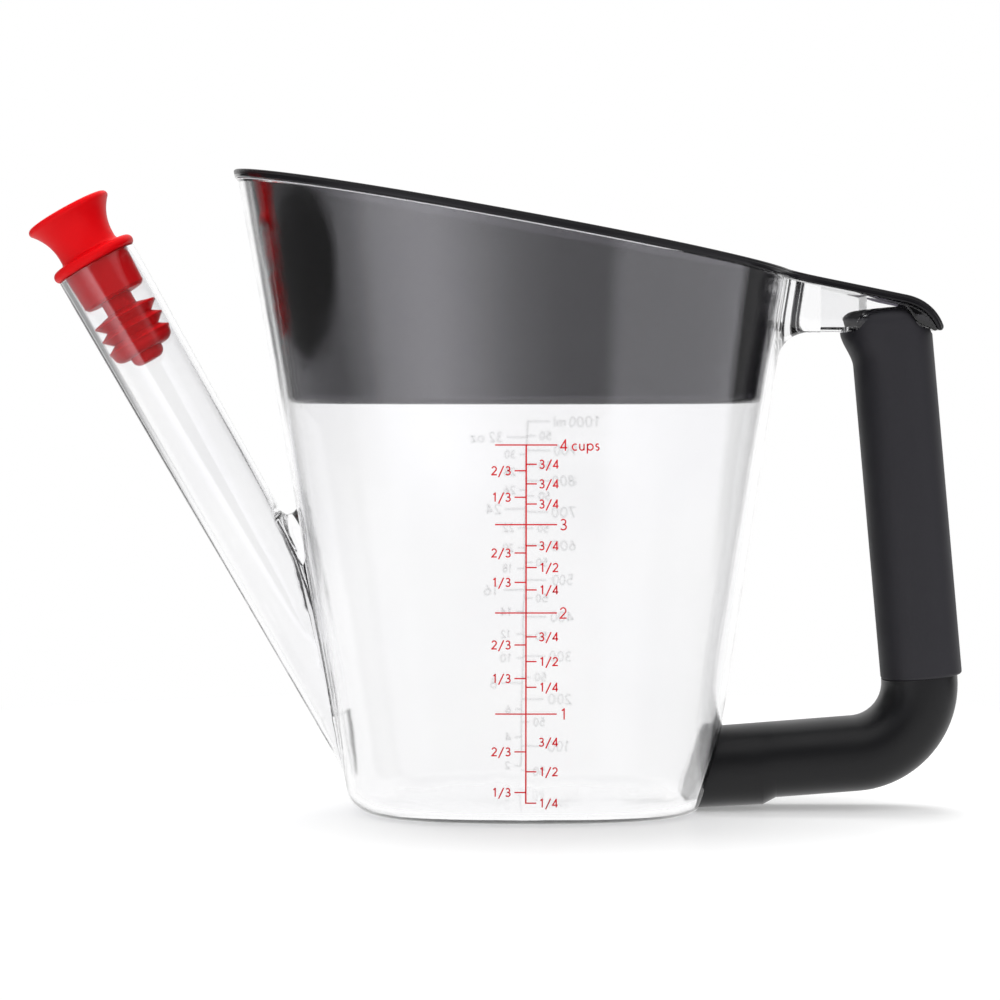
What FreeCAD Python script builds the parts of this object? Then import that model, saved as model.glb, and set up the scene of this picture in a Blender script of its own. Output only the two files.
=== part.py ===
import FreeCAD, Part
import math
import os
from FreeCAD import Vector

# Gravy fat separator, in millimetres.
# X runs from the spout (-X) to the handle (+X), Z is up, and the origin is the centre of the flat base.

# ---- Driving dimensions ----

# Cup: an oval that widens upwards; its ends and its sides have their own drafts.
BASE_LEFT = 51.9
BASE_RIGHT = 53.1
BASE_HALF_WIDTH = 41.4
DRAFT_LEFT = 9.93
DRAFT_RIGHT = 8.41
DRAFT_SIDE = 6.15
OVAL_POWER = 2.5
CUP_WALL = 2.4
CUP_FLOOR = 2.6
BASE_ROUND = 8.0
CAVITY_ROUND = 5.5

# Lip: in side view it falls towards the handle in a slight crown, then turns down over the handle's nose.
LIP_LEFT_X = -85.0
LIP_LEFT_Z = 183.5
LIP_RIGHT_X = 108.5
LIP_RIGHT_Z = 147.5
LIP_CROWN = 1.05
NOSE_TURN_END = 64.0
NOSE_ROUND = 13.3

# Rim band and thumb tab of the strainer.
RIM_SEAT_GAP = 0.3
RIM_THICKNESS = 2.3
RIM_OVERHANG = 0.8
TAB_HALF_WIDTH = 14.0
TAB_CORNER = 9.0
TAB_BLEND = 12.0
RIM_COVER = 1.3
RIM_EDGE_ROUND = 0.5

# Strainer basket.
BASKET_CLEARANCE = 0.8
BASKET_WALL = 1.7
BASKET_BOTTOM_Z = 119.0
BASKET_ROUND = 2.0
FLANGE_THICKNESS = 1.0
HOLE_DIAMETER = 3.2
HOLE_PITCH = 8.0
HOLE_MARGIN = 8.0

# Spout: a straight tapered tube that leans away from the cup.
SPOUT_LEAN = 29.4
SPOUT_MOUTH_X = -125.6
SPOUT_MOUTH_Z = 159.0
SPOUT_MOUTH_DIAMETER = 24.6
SPOUT_WALL = 1.9
SPOUT_TAPER = 0.62
SPOUT_BLEND = 1.5
PORT_TOP_Z = 28.0
WEB_THICKNESS = 14.0
WEB_NOTCH_RADIUS = 2.6
WEB_ROUND = 6.0

# Clear arm from the cup to the handle.
ARM_HALF_WIDTH = 12.0
ARM_UNDERSIDE_Z = 139.2
ARM_EDGE_ROUND = 4.0
ARM_BLEND = 9.0
ARM_WALL = 1.8
TROUGH_LAP = 7.0
ARM_BLANK_RISE = 20.0
HOOD_PLATE = 1.1
HOOD_CORNER = 7.0

# Handle: an upright and a leg whose centrelines meet at a corner.
UPRIGHT_LEAN = 5.3
LEG_RISE = 4.4
HANDLE_CORNER_X = 116.7
HANDLE_CORNER_Z = 17.7
HANDLE_BEND_RADIUS = 20.5
SEAM_RISE = 0.4
GRIP_DEPTH = 23.5
GRIP_WIDTH = 27.0
GRIP_SHIFT = 0.65
GRIP_LENGTH = 108.2
GRIP_HEAD_ROUND = 4.5
GRIP_NOSE_REACH = 3.0
GRIP_NOSE_RISE = 102.0
GRIP_NOSE_FLARE = 10.0
GRIP_FOOT_ROUND = 0.8
HANDLE_POWER = 2.3
CORE_DEPTH = 22.0
CORE_WIDTH = 26.0
COLLAR_REACH = 22.0
COLLAR_DROP = 1.8
COLLAR_END_DROP = 1.2
COLLAR_RAMP = 4.0
POST_DEPTH = 12.0
POST_WIDTH = 16.0
POST_LENGTH = 98.0
TANG_DEPTH = 5.0
TANG_WIDTH = 9.0
TANG_LENGTH = 45.0

# Seat of the handle's foot: a slanted flat across the foot of the cup's end.
FOOT_SEAT_BOTTOM_X = 48.0
FOOT_SEAT_TOP_X = 56.2
FOOT_SEAT_TOP_Z = 24.6
FOOT_SEAT_WALL = 2.8
LUG_DEPTH = 10.0
LUG_WIDTH = 12.0
LUG_HEIGHT = 9.0

# Stopper: lengths run along the spout's axis, from the mouth; inwards is positive.
STOPPER_SEAT_GAP = 0.3
STOPPER_FLANGE_DIAMETER = 25.8
STOPPER_FLANGE_THICKNESS = 3.3
STOPPER_WAIST_DIAMETER = 17.5
STOPPER_WAIST_RISE = 6.3
STOPPER_WAIST_ROUND = 1.6
STOPPER_FLARE_DIAMETER = 25.8
STOPPER_FLARE_TOP = 18.1
STOPPER_FLARE_LIP = 1.2
STOPPER_DISH_DEPTH = 3.5
STOPPER_BARREL_GAP = 0.4
STOPPER_BARREL_DRAFT = 2.4
STOPPER_BARREL_LENGTH = 11.0
STOPPER_BARREL_ROUND = 0.8
STOPPER_STEM_DIAMETER = 9.4
STOPPER_FIN_START = 14.9
STOPPER_FIN_PITCH = 4.2
STOPPER_FIN_COUNT = 3
STOPPER_FIN_GAP = 0.3
STOPPER_FIN_DROOP = 1.4
STOPPER_FIN_TIP = 0.9
STOPPER_FIN_GROOVE = 2.6
STOPPER_BELL_LENGTH = 4.2
STOPPER_BELL_ROUND = 2.6
STOPPER_BULB_DIAMETER = 10.0
STOPPER_BULB_END = 32.0
STOPPER_BULB_ROUND = 2.4

# ---- General helpers ----

OVAL_POINTS = 48
FLARE_STEPS = 4
BEYOND = 100.0
UP = Vector(0, 0, 1)
ACROSS = Vector(0, 1, 0)


def oval_wire(centre, along, across, half_length, half_width, power):
    """Closed smooth superellipse through OVAL_POINTS points; its seam is at the middle of a side."""
    points = []
    for step in range(OVAL_POINTS):
        angle = math.pi / 2 + 2 * math.pi * step / OVAL_POINTS
        cosine = math.cos(angle)
        sine = math.sin(angle)
        x = half_length * math.copysign(abs(cosine) ** (2 / power), cosine)
        y = half_width * math.copysign(abs(sine) ** (2 / power), sine)
        points.append(centre + along * x + across * y)
    curve = Part.BSplineCurve()
    curve.interpolate(Points=points, PeriodicFlag=True)
    return Part.Wire([curve.toShape()])


def slope(degrees):
    return math.tan(math.radians(degrees))


def cup_oval(height, inset):
    """The cup's outline at a height, moved inwards by inset."""
    left = BASE_LEFT + height * slope(DRAFT_LEFT) - inset
    right = BASE_RIGHT + height * slope(DRAFT_RIGHT) - inset
    half_width = BASE_HALF_WIDTH + height * slope(DRAFT_SIDE) - inset
    centre = Vector((right - left) / 2, 0, height)
    return oval_wire(centre, Vector(1, 0, 0), ACROSS, (left + right) / 2, half_width, OVAL_POWER)


def cup_form(low, high, inset):
    """Solid of the cup's taper between two heights."""
    return Part.makeLoft([cup_oval(low, inset), cup_oval(high, inset)], True, True)


def edges_at_height(shape, height):
    """Edges that lie flat at a height."""
    found = []
    for edge in shape.Edges:
        box = edge.BoundBox
        if abs(box.ZMin - height) < 0.01 and abs(box.ZMax - height) < 0.01:
            found.append(edge)
    return found


def side_prism(wire, half_width):
    """A closed wire in the XZ plane, thickened equally both ways along Y."""
    face = Part.Face(wire)
    face.translate(Vector(0, -half_width, 0))
    return face.extrude(Vector(0, 2 * half_width, 0))


def polygon_prism(points, half_width):
    vectors = [Vector(x, 0, z) for x, z in points]
    return side_prism(Part.makePolygon(vectors + [vectors[0]]), half_width)


# ---- Lip line in side view ----

TOP_Z = LIP_LEFT_Z + RIM_THICKNESS + 10.0

LIP_CHORD = math.hypot(LIP_RIGHT_X - LIP_LEFT_X, LIP_LEFT_Z - LIP_RIGHT_Z)
CROWN_RADIUS = (LIP_CHORD ** 2 / 4 + LIP_CROWN ** 2) / (2 * LIP_CROWN)
LIP_FALL = math.atan2(LIP_LEFT_Z - LIP_RIGHT_Z, LIP_RIGHT_X - LIP_LEFT_X)
LIP_HALF_TURN = math.asin(LIP_CHORD / 2 / CROWN_RADIUS)
FALL_RIGHT = LIP_FALL + LIP_HALF_TURN
FALL_LEFT = LIP_FALL - 1.2 * LIP_HALF_TURN
LIP_RIGHT = Vector(LIP_RIGHT_X, 0, LIP_RIGHT_Z)


def ray(angle):
    """Unit vector that leans from the vertical towards +X by an angle in radians."""
    return Vector(math.sin(angle), 0, math.cos(angle))


CROWN_CENTRE = LIP_RIGHT - ray(FALL_RIGHT) * CROWN_RADIUS
NOSE_CENTRE = LIP_RIGHT - ray(FALL_RIGHT) * NOSE_ROUND


def crown_arc(offset):
    reach = CROWN_RADIUS + offset
    angles = (FALL_LEFT, (FALL_LEFT + FALL_RIGHT) / 2, FALL_RIGHT)
    points = [CROWN_CENTRE + ray(angle) * reach for angle in angles]
    return Part.Arc(*points).toShape()


def nose_arc(offset):
    reach = NOSE_ROUND + offset
    angles = (FALL_RIGHT, (FALL_RIGHT + math.radians(NOSE_TURN_END)) / 2, math.radians(NOSE_TURN_END))
    points = [NOSE_CENTRE + ray(angle) * reach for angle in angles]
    return Part.Arc(*points).toShape()


NOSE_END = math.radians(NOSE_TURN_END)


def lip_outline(low, high):
    """Closed side outline between two offsets from the lip; its nose has a full round end."""
    start_low = CROWN_CENTRE + ray(FALL_LEFT) * (CROWN_RADIUS + low)
    start_high = CROWN_CENTRE + ray(FALL_LEFT) * (CROWN_RADIUS + high)
    end_low = NOSE_CENTRE + ray(NOSE_END) * (NOSE_ROUND + low)
    end_high = NOSE_CENTRE + ray(NOSE_END) * (NOSE_ROUND + high)
    bulge = (end_low + end_high) / 2 + ray(NOSE_END + math.pi / 2) * (high - low) / 2
    edges = [crown_arc(low), nose_arc(low), Part.Arc(end_low, bulge, end_high).toShape()]
    edges += [nose_arc(high), crown_arc(high), Part.makeLine(start_high, start_low)]
    return Part.Wire(Part.__sortEdges__(edges))


def below_lip(offset):
    """Everything under the lip line moved by an offset, as far as the end of its nose."""
    start = CROWN_CENTRE + ray(FALL_LEFT) * (CROWN_RADIUS + offset)
    end = NOSE_CENTRE + ray(NOSE_END) * (NOSE_ROUND + offset)
    corner_right = Vector(end.x, 0, -BEYOND)
    corner_left = Vector(start.x, 0, -BEYOND)
    edges = [crown_arc(offset), nose_arc(offset), Part.makeLine(end, corner_right)]
    edges += [Part.makeLine(corner_right, corner_left), Part.makeLine(corner_left, start)]
    return side_prism(Part.Wire(Part.__sortEdges__(edges)), BEYOND)


HOOD_END_X = (NOSE_CENTRE + ray(NOSE_END) * NOSE_ROUND).x
TAB_END_X = HOOD_END_X + RIM_SEAT_GAP + RIM_THICKNESS + RIM_OVERHANG

# ---- Spout ----

MOUTH = Vector(SPOUT_MOUTH_X, 0, SPOUT_MOUTH_Z)
SPOUT_IN = Vector(math.sin(math.radians(SPOUT_LEAN)), 0, -math.cos(math.radians(SPOUT_LEAN)))
SPOUT_LENGTH = (SPOUT_MOUTH_Z + 2 * BASE_ROUND) / math.cos(math.radians(SPOUT_LEAN))
BORE_MOUTH_RADIUS = SPOUT_MOUTH_DIAMETER / 2 - SPOUT_WALL


def spout_cone(mouth_radius, start, above):
    """Tapered plug along the spout's axis from start to the foot, kept above a height."""
    start_radius = mouth_radius - start * slope(SPOUT_TAPER)
    foot_radius = mouth_radius - SPOUT_LENGTH * slope(SPOUT_TAPER)
    cone = Part.makeCone(start_radius, foot_radius, SPOUT_LENGTH - start, MOUTH + SPOUT_IN * start, SPOUT_IN)
    keep = Part.makeBox(4 * BEYOND, 2 * BEYOND, 4 * BEYOND, Vector(-3 * BEYOND, -BEYOND, above))
    return cone.common(keep)


def spout_web():
    """Plate in the angle between spout and cup, with a round notch tangent to both."""
    spout_slope = slope(SPOUT_LEAN - SPOUT_TAPER)
    wall_slope = slope(DRAFT_LEFT)
    cup_side = MOUTH + Vector(-SPOUT_IN.z, 0, SPOUT_IN.x) * (SPOUT_MOUTH_DIAMETER / 2)
    spout_foot_x = cup_side.x + cup_side.z * spout_slope
    apex_z = (spout_foot_x + BASE_LEFT) / (spout_slope - wall_slope)
    apex = Vector(-BASE_LEFT - apex_z * wall_slope, 0, apex_z)
    spout_angle = math.radians(SPOUT_LEAN - SPOUT_TAPER)
    wall_angle = math.radians(DRAFT_LEFT)
    half_angle = (spout_angle - wall_angle) / 2
    middle = (spout_angle + wall_angle) / 2
    notch = apex + ray(-middle) * (WEB_NOTCH_RADIUS / math.sin(half_angle))
    reach = WEB_NOTCH_RADIUS / math.tan(half_angle)
    on_spout = apex + ray(-spout_angle) * reach
    on_wall = apex + ray(-wall_angle) * reach
    low_z = PORT_TOP_Z + BASE_ROUND
    low_wall_x = -BASE_LEFT - low_z * wall_slope + CUP_WALL / 2
    corners = [(on_spout.x - SPOUT_WALL / 2, on_spout.z), (on_wall.x + CUP_WALL / 2, on_wall.z)]
    corners += [(low_wall_x, low_z), (low_wall_x - SPOUT_MOUTH_DIAMETER / 4, low_z)]
    corners += [(apex.x - SPOUT_WALL, apex.z)]
    plate = polygon_prism(corners, WEB_THICKNESS / 2)
    start = notch - ACROSS * WEB_THICKNESS
    plate = plate.cut(Part.makeCylinder(WEB_NOTCH_RADIUS, 2 * WEB_THICKNESS, start, ACROSS))
    on_faces = [edge for edge in plate.Edges if edge.BoundBox.YLength < 0.01]
    return plate.makeFillet(WEB_ROUND, [edge for edge in on_faces if isinstance(edge.Curve, Part.Circle)])


# ---- Handle ----

LEAN = math.radians(UPRIGHT_LEAN)
RISE = math.radians(LEG_RISE)
DOWN = Vector(math.sin(LEAN), 0, -math.cos(LEAN))
TO_CUP = Vector(-math.cos(LEAN), 0, -math.sin(LEAN))
LEG_WAY = Vector(-math.cos(RISE), 0, -math.sin(RISE))
LEG_DOWN = Vector(math.sin(RISE), 0, -math.cos(RISE))
BEND_TURN = math.pi / 2 + LEAN - RISE
BEND_REACH = HANDLE_BEND_RADIUS * math.tan(BEND_TURN / 2)
HANDLE_CORNER = Vector(HANDLE_CORNER_X, 0, HANDLE_CORNER_Z)
BEND_START = HANDLE_CORNER - DOWN * BEND_REACH
BEND_END = HANDLE_CORNER + LEG_WAY * BEND_REACH
SEAM = BEND_START - DOWN * SEAM_RISE
LEG_LENGTH = HANDLE_CORNER_X - FOOT_SEAT_BOTTOM_X + CUP_WALL


def upright_oval(rise, reach_in, reach_out, width):
    """Oval across the upright at a rise above the seam, from its cup side to its outer side."""
    centre = SEAM - DOWN * rise + TO_CUP * (reach_in - reach_out) / 2
    return oval_wire(centre, TO_CUP, ACROSS, (reach_in + reach_out) / 2, width / 2, HANDLE_POWER)


def foot_side(offset, outward):
    """Half space beyond the slanted seat of the handle's foot, or on the cup's side of it."""
    rise = Vector(FOOT_SEAT_TOP_X - FOOT_SEAT_BOTTOM_X, 0, FOOT_SEAT_TOP_Z)
    rise.normalize()
    low = Vector(FOOT_SEAT_BOTTOM_X - offset, 0, 0) - rise * BEYOND
    high = low + rise * 3 * BEYOND
    far = 2 * BEYOND if outward else -2 * BEYOND
    points = [(low.x, low.z), (high.x, high.z), (high.x + far, high.z), (low.x + far, low.z)]
    return polygon_prism(points, BEYOND)


def grip_form():
    """The whole sleeve, with its nose towards the cup and its round head under the hood."""
    reach_in = GRIP_DEPTH / 2 - GRIP_SHIFT
    reach_out = GRIP_DEPTH / 2 + GRIP_SHIFT
    flare_start = GRIP_NOSE_RISE - GRIP_NOSE_FLARE
    shaft_ovals = [upright_oval(rise, reach_in, reach_out, GRIP_WIDTH) for rise in (0, flare_start)]
    flare_ovals = []
    for step in range(FLARE_STEPS + 1):
        share = step / FLARE_STEPS
        reach = reach_in + GRIP_NOSE_REACH * share * share * (3 - 2 * share)
        flare_ovals.append(upright_oval(flare_start + share * GRIP_NOSE_FLARE, reach, reach_out, GRIP_WIDTH))
    nose_reach = reach_in + GRIP_NOSE_REACH
    head_ovals = []
    for rise in (GRIP_NOSE_RISE, GRIP_LENGTH):
        head_ovals.append(upright_oval(rise, nose_reach, reach_out, GRIP_WIDTH))
    head = Part.makeLoft(head_ovals, True, True)
    head_top = max(head.Edges, key=lambda edge: edge.CenterOfMass.z)
    head = head.makeFillet(GRIP_HEAD_ROUND, [head_top]).common(below_lip(-HOOD_PLATE))
    shaft = Part.makeLoft(shaft_ovals, True, True)
    foot_edge = min(shaft.Edges, key=lambda edge: edge.CenterOfMass.z)
    shaft = shaft.makeFillet(GRIP_FOOT_ROUND, [foot_edge])
    nose_room = side_prism(lip_outline(-HOOD_PLATE, RIM_SEAT_GAP + RIM_THICKNESS), BEYOND)
    flare = Part.makeLoft(flare_ovals, True, False).cut(nose_room)
    return shaft.fuse([flare, head])


def upright_bar(depth, width, low, high):
    """Rectangular bar on the upright's axis between two rises above the seam."""
    bar = Part.makeBox(depth, width, high - low, Vector(-depth / 2, -width / 2, low))
    bar.rotate(Vector(0, 0, 0), ACROSS, -UPRIGHT_LEAN)
    bar.translate(SEAM)
    return bar


def post_form():
    """Upright post of the handle core, inside the sleeve."""
    ovals = []
    for rise in (-SEAM_RISE, POST_LENGTH):
        ovals.append(upright_oval(rise, POST_DEPTH / 2, POST_DEPTH / 2, POST_WIDTH))
    return Part.makeLoft(ovals, True, True)


def leg_oval(reach, drop):
    """Oval across the leg at a distance from the handle's corner; drop deepens its underside."""
    centre = HANDLE_CORNER + LEG_WAY * reach + LEG_DOWN * drop / 2
    return oval_wire(centre, LEG_DOWN, ACROSS, (CORE_DEPTH + drop) / 2, CORE_WIDTH / 2, HANDLE_POWER)


def leg_form():
    """Elbow and leg of the handle core, as far as its seat in the cup."""
    bend_centre = BEND_START + TO_CUP * HANDLE_BEND_RADIUS
    outward = (HANDLE_CORNER - bend_centre).normalize()
    bend = Part.Arc(BEND_START, bend_centre + outward * HANDLE_BEND_RADIUS, BEND_END).toShape()
    spine = Part.Wire([Part.makeLine(SEAM, BEND_START), bend])
    seam_oval = upright_oval(0, CORE_DEPTH / 2, CORE_DEPTH / 2, CORE_WIDTH)
    elbow = spine.makePipeShell([seam_oval], True, False)
    collar_start = LEG_LENGTH - COLLAR_REACH
    sections = [leg_oval(BEND_REACH, 0), leg_oval(collar_start - COLLAR_RAMP, 0)]
    sections += [leg_oval(collar_start, COLLAR_DROP), leg_oval(LEG_LENGTH, COLLAR_END_DROP)]
    leg = Part.makeLoft(sections, True, True).common(foot_side(0, True))
    return elbow.fuse(leg)


def lug_form():
    """Lug on the cup's foot seat that enters the end of the leg."""
    centre = HANDLE_CORNER + LEG_WAY * (HANDLE_CORNER_X - FOOT_SEAT_BOTTOM_X - CUP_WALL)
    corner = Vector(-LUG_DEPTH, -LUG_WIDTH / 2, -LUG_HEIGHT / 2)
    lug = Part.makeBox(2 * LUG_DEPTH, LUG_WIDTH, LUG_HEIGHT, corner)
    lug.rotate(Vector(0, 0, 0), ACROSS, -LEG_RISE)
    lug.translate(centre)
    return lug.common(foot_side(0, True))


# ---- Clear cup with spout and arm ----


def cup_and_arm():
    """Outer form of the cup with the arm blended into its end, trimmed to the lip."""
    cup = cup_form(0, TOP_Z, 0)
    cup = cup.makeFillet(BASE_ROUND, edges_at_height(cup, 0)).common(foot_side(0, False))
    arm_root_x = BASE_RIGHT
    arm_top = LIP_RIGHT_Z + ARM_BLANK_RISE
    size = (HOOD_END_X - arm_root_x, 2 * ARM_HALF_WIDTH, arm_top - ARM_UNDERSIDE_Z)
    arm = Part.makeBox(*size, Vector(arm_root_x, -ARM_HALF_WIDTH, ARM_UNDERSIDE_Z))
    at_end = [edge for edge in arm.Edges if edge.BoundBox.XMin > HOOD_END_X - 0.01]
    arm = arm.makeFillet(HOOD_CORNER, [edge for edge in at_end if edge.BoundBox.YLength < 0.01])
    low_edges = edges_at_height(arm, ARM_UNDERSIDE_Z)
    long_edges = [edge for edge in low_edges if edge.BoundBox.XLength > 0.01]
    arm = arm.makeFillet(ARM_EDGE_ROUND, long_edges)
    joined = cup.fuse(arm)
    joint_edges = []
    for edge in joined.Edges:
        box = edge.BoundBox
        near_wall = box.XMax < HOOD_END_X - ARM_BLEND and box.XMin > arm_root_x + ARM_BLEND
        beside_arm = abs(box.YMin) < ARM_HALF_WIDTH + 0.01 and abs(box.YMax) < ARM_HALF_WIDTH + 0.01
        if near_wall and beside_arm and box.ZMin > ARM_UNDERSIDE_Z - 0.01 and box.ZMin < arm_top - 1:
            joint_edges.append(edge)
    return joined.makeFillet(ARM_BLEND, joint_edges).common(below_lip(0))


def cavity_form():
    """Inside of the cup, kept off the seat of the handle's foot."""
    cavity = cup_form(CUP_FLOOR, TOP_Z, CUP_WALL)
    cavity = cavity.makeFillet(CAVITY_ROUND, edges_at_height(cavity, CUP_FLOOR))
    return cavity.common(foot_side(FOOT_SEAT_WALL, False))


def arm_trough():
    """Hollow of the arm, open upwards under the thumb tab, that the grip's head closes."""
    start = BASE_RIGHT + ARM_UNDERSIDE_Z * slope(DRAFT_RIGHT) + ARM_BLEND + ARM_WALL
    nose_reach = GRIP_DEPTH / 2 - GRIP_SHIFT + GRIP_NOSE_REACH
    end = upright_oval(GRIP_LENGTH, nose_reach, 0, GRIP_WIDTH).BoundBox.XMin + TROUGH_LAP
    floor_z = ARM_UNDERSIDE_Z + ARM_WALL
    points = [(start, floor_z), (end, floor_z), (end, TOP_Z), (start, TOP_Z)]
    return polygon_prism(points, ARM_HALF_WIDTH - ARM_WALL)


def make_pitcher():
    body = cup_and_arm()
    body = body.fuse(spout_cone(SPOUT_MOUTH_DIAMETER / 2, 0, BASE_ROUND))
    joint_edges = []
    for edge in body.Edges:
        box = edge.BoundBox
        if box.XMax < -BASE_LEFT and box.ZMin > BASE_ROUND and box.YLength > SPOUT_MOUTH_DIAMETER / 2:
            if box.XMin > SPOUT_MOUTH_X + SPOUT_MOUTH_DIAMETER:
                joint_edges.append(edge)
    body = body.makeFillet(SPOUT_BLEND, joint_edges)
    body = body.fuse(spout_web()).cut(cavity_form())
    bore = spout_cone(BORE_MOUTH_RADIUS, -1.0, CUP_FLOOR + CAVITY_ROUND)
    body = body.cut(bore.cut(cup_form(PORT_TOP_Z, TOP_Z, 0)))
    body = body.cut(arm_trough())
    body = body.cut(grip_form().fuse(leg_form()))
    return body.fuse([tang_form(), lug_form()])


# ---- Strainer ----

BASKET_INSET = CUP_WALL + BASKET_CLEARANCE
FLANGE_TOP = RIM_SEAT_GAP + FLANGE_THICKNESS


def tab_plan(inset):
    """The cup's outline and the thumb tab as one upright form, moved inwards by inset."""
    ring = cup_form(BASKET_BOTTOM_Z, TOP_Z, inset - RIM_OVERHANG)
    half_width = TAB_HALF_WIDTH - inset
    tab_low = ARM_UNDERSIDE_Z - TAB_BLEND
    tab_high = TOP_Z + TAB_BLEND
    size = (TAB_END_X - inset - BASE_RIGHT, 2 * half_width, tab_high - tab_low)
    tab = Part.makeBox(*size, Vector(BASE_RIGHT, -half_width, tab_low))
    corner_edges = []
    for edge in tab.Edges:
        if edge.BoundBox.XMin > TAB_END_X - inset - 0.01 and edge.BoundBox.YLength < 0.01:
            corner_edges.append(edge)
    form = ring.fuse(tab.makeFillet(TAB_CORNER - inset, corner_edges))
    joint_edges = []
    for edge in form.Edges:
        box = edge.BoundBox
        if box.ZLength > TAB_BLEND and box.YLength < 0.01 and box.XMax < TAB_END_X - TAB_CORNER - TAB_BLEND:
            joint_edges.append(edge)
    return form.makeFillet(TAB_BLEND, [edge for edge in joint_edges if edge.BoundBox.XMin > BASE_RIGHT + 1])


def basket_hollow():
    """Inside of the basket, from its floor upwards."""
    hollow = cup_form(BASKET_BOTTOM_Z + BASKET_WALL, TOP_Z + RIM_THICKNESS, BASKET_INSET + BASKET_WALL)
    return hollow.makeFillet(BASKET_ROUND, edges_at_height(hollow, BASKET_BOTTOM_Z + BASKET_WALL))


def floor_holes():
    """Staggered rows of round holes over the basket's floor, inside its margin."""
    row_pitch = HOLE_PITCH * math.sqrt(3) / 2
    floor_left = BASE_LEFT + BASKET_BOTTOM_Z * slope(DRAFT_LEFT) - BASKET_INSET - BASKET_WALL
    floor_right = BASE_RIGHT + BASKET_BOTTOM_Z * slope(DRAFT_RIGHT) - BASKET_INSET - BASKET_WALL
    floor_side = BASE_HALF_WIDTH + BASKET_BOTTOM_Z * slope(DRAFT_SIDE) - BASKET_INSET - BASKET_WALL
    middle_x = (floor_right - floor_left) / 2
    reach_x = (floor_left + floor_right) / 2 - HOLE_MARGIN
    reach_y = floor_side - HOLE_MARGIN
    holes = []
    for row in range(-int(reach_y / row_pitch), int(reach_y / row_pitch) + 1):
        shift = HOLE_PITCH / 2 * (row % 2)
        for column in range(-int(reach_x / HOLE_PITCH) - 1, int(reach_x / HOLE_PITCH) + 1):
            x = column * HOLE_PITCH + shift
            y = row * row_pitch
            if abs(x / reach_x) ** OVAL_POWER + abs(y / reach_y) ** OVAL_POWER <= 1:
                start = Vector(middle_x + x, y, BASKET_BOTTOM_Z - BASKET_WALL)
                holes.append(Part.makeCylinder(HOLE_DIAMETER / 2, 3 * BASKET_WALL, start, UP))
    return holes


def make_basket():
    outside = cup_form(BASKET_BOTTOM_Z, TOP_Z, BASKET_INSET)
    outside = outside.makeFillet(BASKET_ROUND, edges_at_height(outside, BASKET_BOTTOM_Z))
    basket = outside.common(below_lip(FLANGE_TOP))
    flange = tab_plan(RIM_COVER).common(side_prism(lip_outline(RIM_SEAT_GAP, FLANGE_TOP), BEYOND))
    return basket.fuse(flange).cut(basket_hollow()).cut(Part.makeCompound(floor_holes()))


def on_rim_top(edge):
    """Whether an edge runs round the rim's top face, rather than across it."""
    if edge.BoundBox.YLength > 2 * TAB_HALF_WIDTH - 0.01 and edge.BoundBox.XLength < 0.01:
        return edge.BoundBox.XMin > TAB_END_X - RIM_THICKNESS
    middle = edge.valueAt((edge.FirstParameter + edge.LastParameter) / 2)
    for centre, radius in ((CROWN_CENTRE, CROWN_RADIUS), (NOSE_CENTRE, NOSE_ROUND)):
        rise = math.hypot(middle.x - centre.x, middle.z - centre.z) - radius
        if abs(rise - RIM_SEAT_GAP - RIM_THICKNESS) < 0.01:
            return True
    return False


def make_rim(basket):
    band = side_prism(lip_outline(RIM_SEAT_GAP, RIM_SEAT_GAP + RIM_THICKNESS), BEYOND)
    rim = tab_plan(0).common(band)
    rim = rim.makeFillet(RIM_EDGE_ROUND, [edge for edge in rim.Edges if on_rim_top(edge)])
    return rim.cut([basket_hollow(), basket])


# ---- Handle ----


def tang_form():
    """Tang of the pitcher that hangs from its hood into the handle's post."""
    return upright_bar(TANG_DEPTH, TANG_WIDTH, GRIP_LENGTH - TANG_LENGTH, GRIP_LENGTH + HOOD_PLATE / 2)


def make_core():
    return leg_form().fuse(post_form()).cut(tang_form()).cut(lug_form())


def make_grip():
    return grip_form().cut(post_form()).cut(tang_form())


# ---- Stopper ----

SPOUT_SIDE = Vector(-SPOUT_IN.z, 0, SPOUT_IN.x)


def bore_radius(depth):
    return BORE_MOUTH_RADIUS - depth * slope(SPOUT_TAPER)


def at(radius, depth):
    """Point of the stopper's half section: radius from the spout's axis, depth below its mouth."""
    return MOUTH + SPOUT_IN * depth + SPOUT_SIDE * radius


def straight(*points):
    """Straight edges through half-section points."""
    places = [at(*point) for point in points]
    return [Part.makeLine(first, second) for first, second in zip(places, places[1:])]


def bow(start, middle, end):
    return Part.Arc(at(*start), at(*middle), at(*end)).toShape()


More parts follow.
